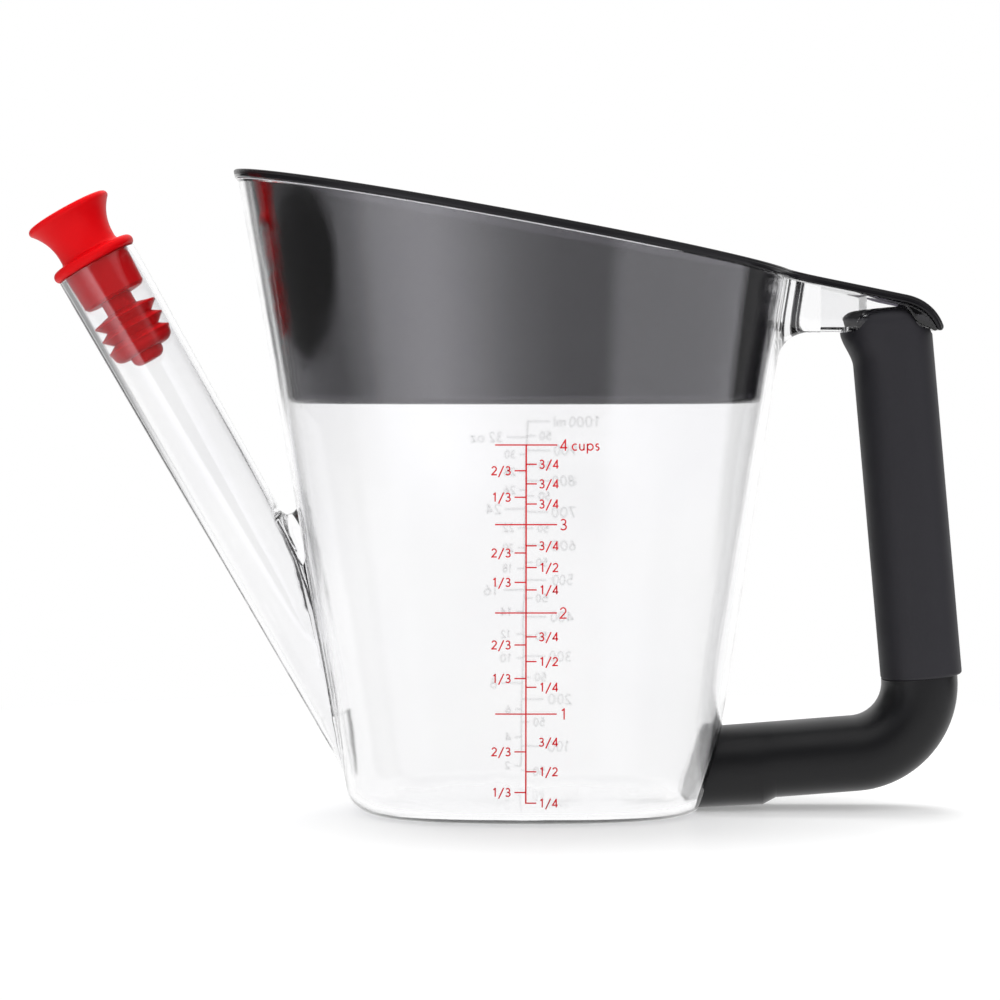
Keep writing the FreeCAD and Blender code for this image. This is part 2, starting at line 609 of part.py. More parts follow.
def stopper_pull():
    """Half section of the flared pull and the flange, from the axis to the flange's underside."""
    lip = STOPPER_FLARE_LIP
    lip_radius = STOPPER_FLARE_DIAMETER / 2 - lip
    waist = STOPPER_WAIST_DIAMETER / 2
    top = -STOPPER_FLARE_TOP
    seat = -STOPPER_SEAT_GAP
    half = STOPPER_FLANGE_THICKNESS / 2
    edge = STOPPER_FLANGE_DIAMETER / 2 - half
    dish_floor = top + STOPPER_DISH_DEPTH
    flange_top = seat - 2 * half
    turn = STOPPER_WAIST_ROUND

    # The sweep leaves the waist along the axis and runs smoothly into the round of the lip.
    across = lip_radius - waist
    along = -STOPPER_WAIST_RISE - top - lip
    sweep = (across ** 2 + along ** 2 - lip ** 2) / (2 * (across + lip))
    meeting = math.asin(along / (sweep + lip))

    def on_sweep(angle):
        return (waist + sweep * (1 - math.cos(angle)), -STOPPER_WAIST_RISE - sweep * math.sin(angle))

    middle = (meeting - math.pi / 2) / 2
    on_lip = (lip_radius + lip * math.cos(middle), top + lip + lip * math.sin(middle))
    in_corner = (waist + turn * (1 - math.sqrt(0.5)), flange_top - turn * (1 - math.sqrt(0.5)))
    edges = [bow((0, dish_floor), (lip_radius / 2, dish_floor - lip), (lip_radius, top))]
    edges.append(bow((lip_radius, top), on_lip, on_sweep(meeting)))
    edges.append(bow(on_sweep(meeting), on_sweep(meeting / 2), on_sweep(0)))
    edges += straight(on_sweep(0), (waist, flange_top - turn))
    edges.append(bow((waist, flange_top - turn), in_corner, (waist + turn, flange_top)))
    edges += straight((waist + turn, flange_top), (edge, flange_top))
    edges.append(bow((edge, flange_top), (edge + half, seat - half), (edge, seat)))
    return edges, (edge, seat)


def stopper_plug(start):
    """Half section of barrel, stem, fins and bulb, from the flange's underside to the axis."""
    barrel_top = bore_radius(0) - STOPPER_BARREL_GAP
    barrel_foot = barrel_top - STOPPER_BARREL_LENGTH * slope(STOPPER_BARREL_DRAFT)
    stem = STOPPER_STEM_DIAMETER / 2
    chamfer = STOPPER_BARREL_ROUND
    points = [start, (barrel_top, start[1]), (barrel_foot, STOPPER_BARREL_LENGTH - chamfer)]
    points += [(barrel_foot - chamfer, STOPPER_BARREL_LENGTH), (stem, STOPPER_BARREL_LENGTH)]
    points.append((stem, STOPPER_FIN_START))
    edges = straight(*points)
    last = points[-1]
    half = STOPPER_FIN_TIP / 2
    for fin in range(STOPPER_FIN_COUNT):
        depth = STOPPER_FIN_START + fin * STOPPER_FIN_PITCH + STOPPER_FIN_DROOP
        tip = bore_radius(depth) - STOPPER_FIN_GAP
        edges += straight(last, (tip - half, depth))
        if fin < STOPPER_FIN_COUNT - 1:
            edges.append(bow((tip - half, depth), (tip, depth + half), (tip - half, depth + 2 * half)))
            last = (tip - STOPPER_FIN_GROOVE, depth + STOPPER_FIN_PITCH - STOPPER_FIN_DROOP)
            edges += straight((tip - half, depth + 2 * half), last)
        else:
            bell_foot = depth + STOPPER_BELL_LENGTH
            turn = STOPPER_BELL_ROUND
            diagonal = turn * (1 - math.sqrt(0.5))
            edges.append(bow((tip - half, depth), (tip, depth + half), (tip - half / 2, depth + 2 * half)))
            edges += straight((tip - half / 2, depth + 2 * half), (tip - half, bell_foot - turn))
            middle = (tip - half - diagonal, bell_foot - diagonal)
            edges.append(bow((tip - half, bell_foot - turn), middle, (tip - half - turn, bell_foot)))
            last = (tip - half - turn, bell_foot)
    bulb = STOPPER_BULB_DIAMETER / 2
    turn = STOPPER_BULB_ROUND
    diagonal = turn * (1 - math.sqrt(0.5))
    edges += straight(last, (bulb, last[1]), (bulb, STOPPER_BULB_END - turn))
    middle = (bulb - diagonal, STOPPER_BULB_END - diagonal)
    edges.append(bow((bulb, STOPPER_BULB_END - turn), middle, (bulb - turn, STOPPER_BULB_END)))
    edges += straight((bulb - turn, STOPPER_BULB_END), (0, STOPPER_BULB_END))
    return edges


def make_stopper():
    pull, seat = stopper_pull()
    axis_edge = straight((0, STOPPER_BULB_END), (0, STOPPER_DISH_DEPTH - STOPPER_FLARE_TOP))
    outline = Part.Wire(Part.__sortEdges__(pull + stopper_plug(seat) + axis_edge))
    return Part.Face(outline).revolve(MOUTH, SPOUT_IN, 360)


# ---- Export ----

basket_piece = make_basket()
pieces = {
    "pitcher_body": make_pitcher(),
    "strainer_basket": basket_piece,
    "strainer_rim": make_rim(basket_piece),
    "handle_core": make_core(),
    "handle_grip": make_grip(),
    "spout_stopper": make_stopper(),
}

os.makedirs("parts", exist_ok=True)
for name, shape in pieces.items():
    shape.exportStep("parts/" + name + ".step")
    print(name, "valid", shape.isValid(), "solids", len(shape.Solids), "volume", round(shape.Volume, 1))
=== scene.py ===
import bpy
import bmesh
import math
import numpy as np
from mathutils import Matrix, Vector
from mathutils.bvhtree import BVHTree
from mathutils.kdtree import KDTree


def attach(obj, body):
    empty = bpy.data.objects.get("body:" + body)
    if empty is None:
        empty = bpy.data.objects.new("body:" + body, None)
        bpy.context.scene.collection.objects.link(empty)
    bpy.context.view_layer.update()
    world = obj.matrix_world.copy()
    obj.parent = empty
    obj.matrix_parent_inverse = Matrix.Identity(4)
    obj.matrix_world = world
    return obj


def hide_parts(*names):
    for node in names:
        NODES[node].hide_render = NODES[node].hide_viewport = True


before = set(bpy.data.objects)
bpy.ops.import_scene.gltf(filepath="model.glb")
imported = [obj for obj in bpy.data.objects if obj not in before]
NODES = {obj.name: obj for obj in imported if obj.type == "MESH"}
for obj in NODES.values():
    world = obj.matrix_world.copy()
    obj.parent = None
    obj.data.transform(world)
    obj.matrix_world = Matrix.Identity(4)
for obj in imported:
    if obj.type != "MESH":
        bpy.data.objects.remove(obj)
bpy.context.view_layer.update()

bl_info = {
    "name": "Gravy Fat Separator",
    "version": (1, 0, 0),
    "blender": (4, 5, 0),
    "location": "View3D > Sidebar > Separator",
    "description": "Dresses a clear gravy fat separator: plastics, silicone, printed volume marks and its studio",
    "category": "Object",
}

MM = 0.001
CUP_WALLS = BVHTree.FromPolygons(
    [vertex.co for vertex in NODES["pitcher_body"].data.vertices],
    [polygon.vertices for polygon in NODES["pitcher_body"].data.polygons])


# ---- Colours and nodes ----

def linear(hex_code):
    """sRGB hex colour as linear red, green, blue and alpha."""
    channels = [int(hex_code[place:place + 2], 16) / 255 for place in (1, 3, 5)]
    curve = [c / 12.92 if c <= 0.04045 else ((c + 0.055) / 1.055) ** 2.4 for c in channels]
    return (*curve, 1.0)


def grey(value):
    return (value, value, value, 1.0)


def add(tree, kind, settings=None, inputs=None):
    """One node with its settings; an input is a value, or an output socket that it is linked from."""
    node = tree.nodes.new(kind)
    for name, value in (settings or {}).items():
        setattr(node, name, value)
    for name, value in (inputs or {}).items():
        if isinstance(value, bpy.types.NodeSocket):
            tree.links.new(value, node.inputs[name])
        else:
            node.inputs[name].default_value = value
    return node


def new_material(name):
    """Empty node material with its output node."""
    material = bpy.data.materials.new(name)
    material.use_nodes = True
    material.node_tree.nodes.clear()
    output = add(material.node_tree, "ShaderNodeOutputMaterial")
    return material, material.node_tree, output


# Normals within this reach are evened out together, if they face alike and are numerous enough.
EVEN_REACH = 5.5 * MM
EVEN_SPREAD = 0.966
EVEN_LEAST = 8
EVEN_FULL_WEIGHT = 1.05
ONE_SMOOTH_SIDE = 0.9998
ODD_WAY = (0.31, 0.53, 0.79)


def even_normals(mesh):
    """Normals of a mesh, evened out over a few millimetres: a moulded wall curves without the facets' scatter."""
    count = len(mesh.vertices)
    places = np.empty(count * 3, np.float32)
    mesh.vertices.foreach_get("co", places)
    places = places.reshape(-1, 3)
    owners = np.empty(len(mesh.loops), np.int32)
    mesh.loops.foreach_get("vertex_index", owners)
    corners = np.array([corner.vector for corner in mesh.corner_normals])
    first = np.zeros((count, 3))
    first[owners] = corners
    tree = KDTree(count)
    for index, place in enumerate(places):
        tree.insert(place, index)
    tree.balance()
    evened = first.copy()
    for index, place in enumerate(places):
        near = np.array([found for spot, found, gap in tree.find_range(place, EVEN_REACH)])
        near = near[first[near] @ first[index] > EVEN_SPREAD]
        if len(near) < EVEN_LEAST:
            continue
        side = np.cross(first[index], ODD_WAY)
        side /= np.linalg.norm(side)
        away = (places[near] - place) / EVEN_REACH
        weight = (EVEN_FULL_WEIGHT - np.sum(away * away, axis=1))[:, None]
        fit = np.column_stack((np.ones(len(near)), away @ side, away @ np.cross(first[index], side))) * weight
        evened[index] = np.linalg.lstsq(fit, first[near] * weight, rcond=None)[0][0]
    evened /= np.linalg.norm(evened, axis=1)[:, None]
    same = np.sum(corners * first[owners], axis=1) > ONE_SMOOTH_SIDE
    return np.where(same[:, None], evened[owners], corners)


def evened_copy(node, name):
    """A CAD piece with the same faces and evened-out normals, which stands in for it."""
    mesh = NODES[node].data.copy()
    mesh.normals_split_custom_set(even_normals(mesh).tolist())
    piece = bpy.data.objects.new(name, mesh)
    bpy.context.scene.collection.objects.link(piece)
    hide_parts(node)
    return piece


def finish_material(tree, output, surface):
    tree.links.new(surface, output.inputs["Surface"])


def noise(tree, spacing_mm, detail):
    """Noise between 0 and 1 whose features are spacing_mm apart."""
    return add(tree, "ShaderNodeTexNoise", None, {
        "Vector": add(tree, "ShaderNodeTexCoord").outputs["Object"], "Scale": 1 / (spacing_mm * MM),
        "Detail": detail, "Roughness": 0.55,
    }).outputs["Fac"]


def relief(tree, height, depth_mm):
    """Bump of a height between 0 and 1 that stands depth_mm deep."""
    return add(tree, "ShaderNodeBump", None, {"Distance": depth_mm * MM, "Height": height}).outputs["Normal"]


def let_light_through(tree, surface, tint):
    """Lets lamp light pass a clear wall in a straight line, tinted once at each face."""
    path = add(tree, "ShaderNodeLightPath")
    window = add(tree, "ShaderNodeBsdfTransparent", None, {"Color": tint})
    return add(tree, "ShaderNodeMixShader", None, {
        0: path.outputs["Is Shadow Ray"], 1: surface, 2: window.outputs["BSDF"],
    }).outputs["Shader"]


# ---- Materials ----

COPOLYESTER_IOR = 1.54
FLOW_SPACING_MM = 26.0
POLISH_DRIFT = 0.2
SMOKE_DRIFT = 0.12


def glassy_plastic(name, light, dense, polish, shadow_tint):
    """See-through moulding whose colour and polish drift a little with the slow flow marks of the melt."""
    material, tree, output = new_material(name)
    flow = noise(tree, FLOW_SPACING_MM, 0.0)
    tone = add(tree, "ShaderNodeMix", {"data_type": "RGBA"}, {0: flow, 6: dense, 7: light})
    haze = add(tree, "ShaderNodeMapRange", None, {
        "Value": flow, "To Min": polish * (1 - POLISH_DRIFT), "To Max": polish * (1 + POLISH_DRIFT),
    })
    body = add(tree, "ShaderNodeBsdfPrincipled", None, {
        "Base Color": tone.outputs[2], "Roughness": haze.outputs["Result"], "IOR": COPOLYESTER_IOR,
        "Transmission Weight": 1.0,
    })
    finish_material(tree, output, let_light_through(tree, body.outputs["BSDF"], shadow_tint))
    return material


def clear_copolyester():
    """Injection-moulded clear copolyester: glassy, with bright edges and hardly any colour."""
    return glassy_plastic(
        "clear moulded copolyester", linear("#FDFDFD"), linear("#F9F9FA"), polish=0.06, shadow_tint=linear("#FBFBFC"))


def lit_corner():
    """Rounded corner of clear plastic with a painted highlight: milky white colour stands in for the bright line
    where light that runs inside the wall leaves.
    """
    material, tree, output = new_material("clear moulded copolyester, painted highlight corner")
    flow = noise(tree, FLOW_SPACING_MM, 1.0)
    body = add(tree, "ShaderNodeBsdfPrincipled", None, {
        "Base Color": tones(tree, flow, linear("#F3F2F6"), 0.03), "Roughness": 0.15, "IOR": COPOLYESTER_IOR,
        "Transmission Weight": 0.3,
    })
    finish_material(tree, output, body.outputs["BSDF"])
    return material


def smoke_copolyester(name, tint):
    """Clear copolyester with a smoke dye: nearly opaque through two walls, with the polish of the cup."""
    light = tuple(min(1.0, (1 + SMOKE_DRIFT) * channel) for channel in tint)
    return glassy_plastic(name, (*light, 1.0), (*tint, 1.0), polish=0.025, shadow_tint=linear("#6A6A6D"))


SHEEN_DRIFT = 0.05
SHEEN_SPACING_MM = 30.0


def sheen(tree, roughness):
    """Roughness that drifts over a moulding as wear and handling leave it."""
    return add(tree, "ShaderNodeMapRange", None, {
        "Value": noise(tree, SHEEN_SPACING_MM, 3.0), "From Min": 0.3, "From Max": 0.7,
        "To Min": roughness - SHEEN_DRIFT, "To Max": roughness + SHEEN_DRIFT,
    }).outputs["Result"]


def tones(tree, share, colour, spread):
    """Colour that varies by spread to both sides of its middle."""
    dark = (*[channel * (1 - spread) for channel in colour[:3]], 1.0)
    light = (*[min(1.0, channel * (1 + spread)) for channel in colour[:3]], 1.0)
    return add(tree, "ShaderNodeMix", {"data_type": "RGBA"}, {0: share, 6: dark, 7: light}).outputs[2]


def moulded_black(name, colour, roughness, grain_mm, depth_mm, shine):
    """Black moulding with a spark-eroded grain: its pits break the highlight and swallow part of the shine."""
    material, tree, output = new_material(name)
    grain = noise(tree, grain_mm, 2.0)
    body = add(tree, "ShaderNodeBsdfPrincipled", None, {
        "Base Color": tones(tree, grain, colour, 0.08), "Roughness": sheen(tree, roughness), "IOR": 1.49,
        "Specular IOR Level": shine, "Normal": relief(tree, grain, depth_mm),
    })
    finish_material(tree, output, body.outputs["BSDF"])
    return material


# Lip line in side view, in millimetres: a slight crown that turns into the round of the handle's nose.
LIP_END = (108.5, 147.5)
LIP_FALL = 11.76
CROWN_RADIUS = 4611.0
NOSE_RADIUS = 13.3
BAND_FOOT = 0.3
BAND_TOP = 2.6
STEP_DEPTH_MM = 0.2
# Height of the band's face by place across it: full, but for a shallow line under its top.
STEP_LINE = ((0.60, 1.0), (0.72, 0.0), (0.84, 1.0))


def lip_centre(radius):
    """Centre of a circle that touches the lip where its crown meets its nose."""
    fall = math.radians(LIP_FALL)
    return LIP_END[0] - radius * math.sin(fall), LIP_END[1] - radius * math.cos(fall)


def rise_above_lip(tree):
    """Place across the rim band, 0 at its foot and 1 at its top."""
    place = add(tree, "ShaderNodeTexCoord").outputs["Object"]
    rises = []
    for radius in (CROWN_RADIUS, NOSE_RADIUS):
        x, z = lip_centre(radius)
        away = add(tree, "ShaderNodeVectorMath", {"operation": "SUBTRACT"}, {0: place, 1: (x * MM, 0, z * MM)})
        flat = add(tree, "ShaderNodeVectorMath", {"operation": "MULTIPLY"}, {0: away.outputs[0], 1: (1, 0, 1)})
        reach = add(tree, "ShaderNodeVectorMath", {"operation": "LENGTH"}, {0: flat.outputs[0]})
        rises.append(add(tree, "ShaderNodeMapRange", {"clamp": False}, {
            "Value": reach.outputs["Value"],
            "From Min": (radius + BAND_FOOT) * MM, "From Max": (radius + BAND_TOP) * MM,
        }).outputs["Result"])
    fall = math.radians(LIP_FALL)
    along = add(tree, "ShaderNodeVectorMath", {"operation": "DOT_PRODUCT"}, {
        0: place, 1: (math.cos(fall), 0, -math.sin(fall)),
    })
    turn = (LIP_END[0] * math.cos(fall) - LIP_END[1] * math.sin(fall)) * MM
    past = add(tree, "ShaderNodeMath", {"operation": "GREATER_THAN"}, {0: along.outputs["Value"], 1: turn})
    return add(tree, "ShaderNodeMix", None, {0: past.outputs[0], 2: rises[0], 3: rises[1]}).outputs[0]


def rim_elastomer(colour):
    """Soft elastomer overmoulded on the rim: satin, with a shallow step line, over a polished lower edge."""
    material, tree, output = new_material("black soft elastomer, overmoulded")
    rise = rise_above_lip(tree)
    line = add(tree, "ShaderNodeValToRGB", None, {"Fac": rise})
    line.color_ramp.interpolation = "EASE"
    line.color_ramp.elements[0].position = 0.0
    line.color_ramp.elements[0].color = grey(1.0)
    for position, level in STEP_LINE:
        line.color_ramp.elements.new(position).color = grey(level)
    polish = add(tree, "ShaderNodeMapRange", None, {
        "Value": rise, "From Min": 0.3, "From Max": 0.4, "To Min": 0.10, "To Max": 0.30,
    })
    body = add(tree, "ShaderNodeBsdfPrincipled", None, {
        "Base Color": tones(tree, noise(tree, 0.6, 2.0), colour, 0.08), "Roughness": polish.outputs["Result"],
        "IOR": 1.49, "Specular IOR Level": 0.25, "Normal": relief(tree, line.outputs["Color"], STEP_DEPTH_MM),
    })
    finish_material(tree, output, body.outputs["BSDF"])
    return material


def red_silicone(colour):
    """Compression-moulded silicone rubber: saturated, a little light passes under its skin, soft sheen."""
    material, tree, output = new_material("red moulded silicone")
    skin = noise(tree, 0.5, 2.0)
    body = add(tree, "ShaderNodeBsdfPrincipled", None, {
        "Base Color": tones(tree, skin, colour, 0.04), "Roughness": sheen(tree, 0.42), "IOR": 1.41,
        "Specular IOR Level": 0.15, "Subsurface Weight": 0.1, "Subsurface Radius": (1.0, 0.2, 0.1),
        "Subsurface Scale": 1.2 * MM, "Normal": relief(tree, skin, 0.006),
    })
    finish_material(tree, output, body.outputs["BSDF"])
    return material


def screen_ink(name, colour, cover):
    """Screen-printed ink: flat and slightly dry, with the mesh's fine unevenness in its cover."""
    material, tree, output = new_material(name)
    weave = noise(tree, 0.25, 2.0)
    body = add(tree, "ShaderNodeBsdfPrincipled", None, {
        "Base Color": tones(tree, weave, colour, 0.04), "Roughness": 0.5, "IOR": 1.5, "Specular IOR Level": 0.2,
        "Alpha": cover, "Normal": relief(tree, weave, 0.004),
    })
    finish_material(tree, output, body.outputs["BSDF"])
    return material


# ---- Settings ----

class PlasticSettings(bpy.types.PropertyGroup):
    smoke_tint: bpy.props.FloatVectorProperty(
        name="Smoke tint", description="Light that one wall of the strainer basket lets through",
        default=linear("#302E33")[:3], subtype="COLOR", min=0.0, max=1.0)
    edge_tint: bpy.props.FloatVectorProperty(
        name="Edge tint", description="Light that the thin edge of the strainer's flange lets through",
        default=linear("#56535C")[:3], subtype="COLOR", min=0.0, max=1.0)
    rim_black: bpy.props.FloatVectorProperty(
        name="Rim black", description="Colour of the strainer's soft rim",
        default=linear("#151417")[:3], subtype="COLOR", min=0.0, max=1.0)
    elbow_black: bpy.props.FloatVectorProperty(
        name="Elbow black", description="Colour of the rigid part of the handle",
        default=linear("#121214")[:3], subtype="COLOR", min=0.0, max=1.0)
    grip_black: bpy.props.FloatVectorProperty(
        name="Grip black", description="Colour of the soft sleeve on the handle",
        default=linear("#242328")[:3], subtype="COLOR", min=0.0, max=1.0)
    stopper_red: bpy.props.FloatVectorProperty(
        name="Stopper red", description="Colour of the silicone stopper",
        default=linear("#D8060F")[:3], subtype="COLOR", min=0.0, max=1.0)


class MarkSettings(bpy.types.PropertyGroup):
    cup_ink: bpy.props.FloatVectorProperty(
        name="Cup ink", description="Colour of the cup marks on the near side",
        default=linear("#CF0A1B")[:3], subtype="COLOR", min=0.0, max=1.0)
    metric_ink: bpy.props.FloatVectorProperty(
        name="Metric ink", description="Colour of the millilitre and ounce marks on the far side",
        default=linear("#B9B9BD")[:3], subtype="COLOR", min=0.0, max=1.0)
    line_width: bpy.props.FloatProperty(
        name="Line width", description="Width of the long upright line of each scale",
        default=0.44 * MM, unit="LENGTH", min=0.0001, max=0.002)
    tick_width: bpy.props.FloatProperty(
        name="Tick width", description="Width of the level lines of each scale",
        default=0.38 * MM, unit="LENGTH", min=0.0001, max=0.002)
    large_digit: bpy.props.FloatProperty(
        name="Large digit", description="Height of the whole-cup numbers",
        default=3.3 * MM, unit="LENGTH", min=0.001, max=0.01)
    small_digit: bpy.props.FloatProperty(
        name="Small digit", description="Height of the fraction numbers",
        default=2.55 * MM, unit="LENGTH", min=0.001, max=0.01)
    stroke_width: bpy.props.FloatProperty(
        name="Stroke width", description="Width of the strokes of the lettering",
        default=0.38 * MM, unit="LENGTH", min=0.0001, max=0.002)


class StudioSettings(bpy.types.PropertyGroup):
    key_strength: bpy.props.FloatProperty(
        name="Key strength", description="Strength of the soft light from above and behind",
        default=2.0, min=0.0, max=10.0)
    fill_strength: bpy.props.FloatProperty(
        name="Fill strength", description="Strength of the soft light from the front",
        default=1.4, min=0.0, max=10.0)
    ambient: bpy.props.FloatProperty(
        name="Ambient", description="Even light from the room on matt surfaces, where 1 is white",
        default=0.6, min=0.0, max=2.0)
    floor_size: bpy.props.FloatProperty(
        name="Floor size", description="Side of the square studio floor",
        default=40.0, unit="LENGTH", min=2.0, max=200.0)


# ---- Printed marks ----

# Volume in cups that the mark at a height h in mm stands for: START + RISE h + SPREAD h^2.
# The curve follows the print itself; under its lowest marks the cup holds up to a tenth less than they say.
CUPS_START = 0.0657
CUPS_RISE = 0.02555
CUPS_SPREAD = 0.0001017
ML_PER_CUP = 236.588
OUNCES_PER_CUP = 8
INK_GAP = 0.03 * MM
INK_THICKNESS = 0.03 * MM
WRAP_STEP = 1.5 * MM
RAY_START = 0.2
SHARP_TURN = 0.6
ARC_STEP = 18


def arc(middle_x, middle_y, half_width, half_height, start, stop):
    """Points along an oval's arc between two angles in degrees."""
    steps = math.ceil(abs(stop - start) / ARC_STEP)
    turns = [math.radians(start + (stop - start) * step / steps) for step in range(steps + 1)]
    return [(middle_x + half_width * math.cos(turn), middle_y + half_height * math.sin(turn)) for turn in turns]


# Round even-stroked lettering: width of each sign and the middle lines of its strokes, where a digit is 1 tall.
LETTER_GAP = 0.13
SIGNS = {
    " ": (0.10, []),
    "/": (0.60, [[(0.02, -0.20), (0.58, 1.02)]]),
    "0": (0.64, [arc(0.32, 0.5, 0.26, 0.44, 90, 450)]),
    "1": (0.64, [[(0.22, 0.78), (0.42, 0.94), (0.42, 0.02)]]),
    "2": (0.64, [arc(0.31, 0.69, 0.23, 0.25, 165, -35) + [(0.07, 0.06), (0.60, 0.06)]]),
    "3": (0.64, [arc(0.30, 0.725, 0.20, 0.215, 150, -90) + arc(0.30, 0.285, 0.25, 0.225, 90, -150)]),
    "4": (0.64, [[(0.46, 0.02), (0.46, 0.92), (0.06, 0.27), (0.62, 0.27)]]),
    "5": (0.64, [[(0.54, 0.94), (0.20, 0.94), (0.14, 0.54)] + arc(0.30, 0.34, 0.26, 0.28, 120, -145)]),
    "6": (0.64, [[(0.44, 0.96), (0.11, 0.42)], arc(0.32, 0.31, 0.25, 0.25, 0, 360)]),
    "7": (0.64, [[(0.06, 0.94), (0.58, 0.94), (0.22, 0.02)]]),
    "8": (0.64, [arc(0.32, 0.73, 0.19, 0.21, 0, 360), arc(0.32, 0.29, 0.25, 0.23, 0, 360)]),
    "9": (0.64, [[(0.20, 0.04), (0.53, 0.58)], arc(0.32, 0.69, 0.25, 0.25, 0, 360)]),
    "c": (0.46, [arc(0.28, 0.32, 0.23, 0.26, 55, 305)]),
    "l": (0.12, [[(0.06, 0.96), (0.06, 0.04)]]),
    "m": (0.84, [
        [(0.08, 0.04), (0.08, 0.60)], arc(0.25, 0.42, 0.17, 0.16, 180, 0) + [(0.42, 0.04)],
        arc(0.59, 0.42, 0.17, 0.16, 180, 0) + [(0.76, 0.04)],
    ]),
    "o": (0.60, [arc(0.30, 0.32, 0.25, 0.26, 0, 360)]),
    "p": (0.60, [[(0.08, 0.60), (0.08, -0.22)], arc(0.32, 0.32, 0.24, 0.26, 0, 360)]),
    "s": (0.36, [arc(0.19, 0.455, 0.12, 0.125, 40, 270) + arc(0.19, 0.195, 0.13, 0.135, 90, -140)]),
    "u": (0.50, [[(0.07, 0.60), (0.07, 0.26)] + arc(0.25, 0.26, 0.18, 0.20, 180, 360), [(0.43, 0.60), (0.43, 0.04)]]),
    "z": (0.46, [[(0.05, 0.58), (0.42, 0.58), (0.05, 0.06), (0.44, 0.06)]]),
}


def mark_height(cups):
    """Height of the mark for a volume, in metres."""
    root = math.sqrt(CUPS_RISE ** 2 + 4 * CUPS_SPREAD * (cups - CUPS_START))
    return (root - CUPS_RISE) / (2 * CUPS_SPREAD) * MM


class Print:
    """Flat artwork that grows in one mesh and is then wrapped on a side of the cup."""

    def __init__(self):
        self.mesh = bmesh.new()

    def bar(self, left, right, low, high):
        """Rectangle of ink, cut into short steps so that it can bend."""
        steps = max(1, math.ceil(max(right - left, high - low) / WRAP_STEP))
        upright = high - low > right - left
        pairs = []
        for step in range(steps + 1):
            share = step / steps
            if upright:
                level = low + (high - low) * share
                ends = ((left, level), (right, level))
            else:
                place = left + (right - left) * share
                ends = ((place, low), (place, high))
            pairs.append([self.mesh.verts.new((x, y, 0)) for x, y in ends])
        self.join(pairs)

    def words(self, text, x, y, height, stroke, align):
        """Line of lettering whose digits are height tall and centred on y."""
        if align == "RIGHT":
            x -= height * (sum(SIGNS[sign][0] + LETTER_GAP for sign in text) - LETTER_GAP)
        for sign in text:
            width, lines = SIGNS[sign]
            for line in lines:
                self.stroke([Vector((x + px * height, y + (py - 0.5) * height, 0)) for px, py in line], stroke / 2)
            x += height * (width + LETTER_GAP)

    def stroke(self, points, half):
        """Ribbon along points; at a sharp corner it stops and starts again, so that the corner stays square."""
        pairs = []
        for place, point in enumerate(points):
            ahead = (points[place + 1] - point).normalized() if place + 1 < len(points) else None
            back = (point - points[place - 1]).normalized() if place > 0 else None
            sharp = ahead and back and ahead.dot(back) < SHARP_TURN
            if back and (sharp or not ahead):
                pairs.append(self.across(point + back * half * bool(sharp), back, half))
                self.join(pairs)
                pairs = []
            if ahead and (sharp or not back):
                pairs.append(self.across(point - ahead * half * bool(sharp), ahead, half))
            elif ahead:
                pairs.append(self.across(point, (ahead + back).normalized(), half))

    def across(self, point, along, half):
        side = Vector((-along.y, along.x, 0)) * half
        return self.mesh.verts.new(point - side), self.mesh.verts.new(point + side)

    def join(self, pairs):
        for first, second in zip(pairs, pairs[1:]):
            self.mesh.faces.new((first[0], second[0], second[1], first[1]))

    def wrap(self, name, side, middle, lean):
        """Solid thin piece on the cup's wall; side is -1 for the near wall and 1 for the far one."""
        faces = self.mesh.faces[:]
        bmesh.ops.recalc_face_normals(self.mesh, faces=faces)
        lower = {vertex: self.place(vertex.co, side, middle, lean, INK_GAP) for vertex in self.mesh.verts}
        upper = {vertex: self.place(vertex.co, side, middle, lean, INK_GAP + INK_THICKNESS)
                 for vertex in self.mesh.verts}
        for vertex, place in lower.items():
            vertex.co = place
        bottom = self.mesh.verts[:]
        top = {vertex: self.mesh.verts.new(upper[vertex]) for vertex in bottom}
        rims = [edge for edge in self.mesh.edges if len(edge.link_faces) == 1]
        for face in faces:
            self.mesh.faces.new([top[vertex] for vertex in face.verts])
        for edge in rims:
            first, second = edge.verts
            self.mesh.faces.new((first, second, top[second], top[first]))
        bmesh.ops.recalc_face_normals(self.mesh, faces=self.mesh.faces[:])
        mesh = bpy.data.meshes.new(name)
        self.mesh.to_mesh(mesh)
        self.mesh.free()
        piece = bpy.data.objects.new(name, mesh)
        bpy.context.scene.collection.objects.link(piece)
        return piece

    def place(self, flat, side, middle, lean, proud):
        x = middle - side * flat.x + lean * flat.y
        start = Vector((x, side * RAY_START, flat.y))
        place, normal, index, gap = CUP_WALLS.ray_cast(start, Vector((0, -side, 0)))
        if place is None:
            raise RuntimeError("a printed mark misses the cup")
        return place + normal * proud


FRACTION_NAMES = {0.75: "3/4", 0.5: "1/2", 0.25: "1/4"}
CUP_LINE_X = -0.85 * MM
CUP_LINE_FOOT = 0.25
MAJOR_REACH = 8.6 * MM
MAJOR_LABEL = 9.3 * MM
TICK_RIGHT = 2.95 * MM
TICK_LEFT = 3.2 * MM
LABEL_RIGHT = 3.54 * MM
LABEL_LEFT = 4.19 * MM


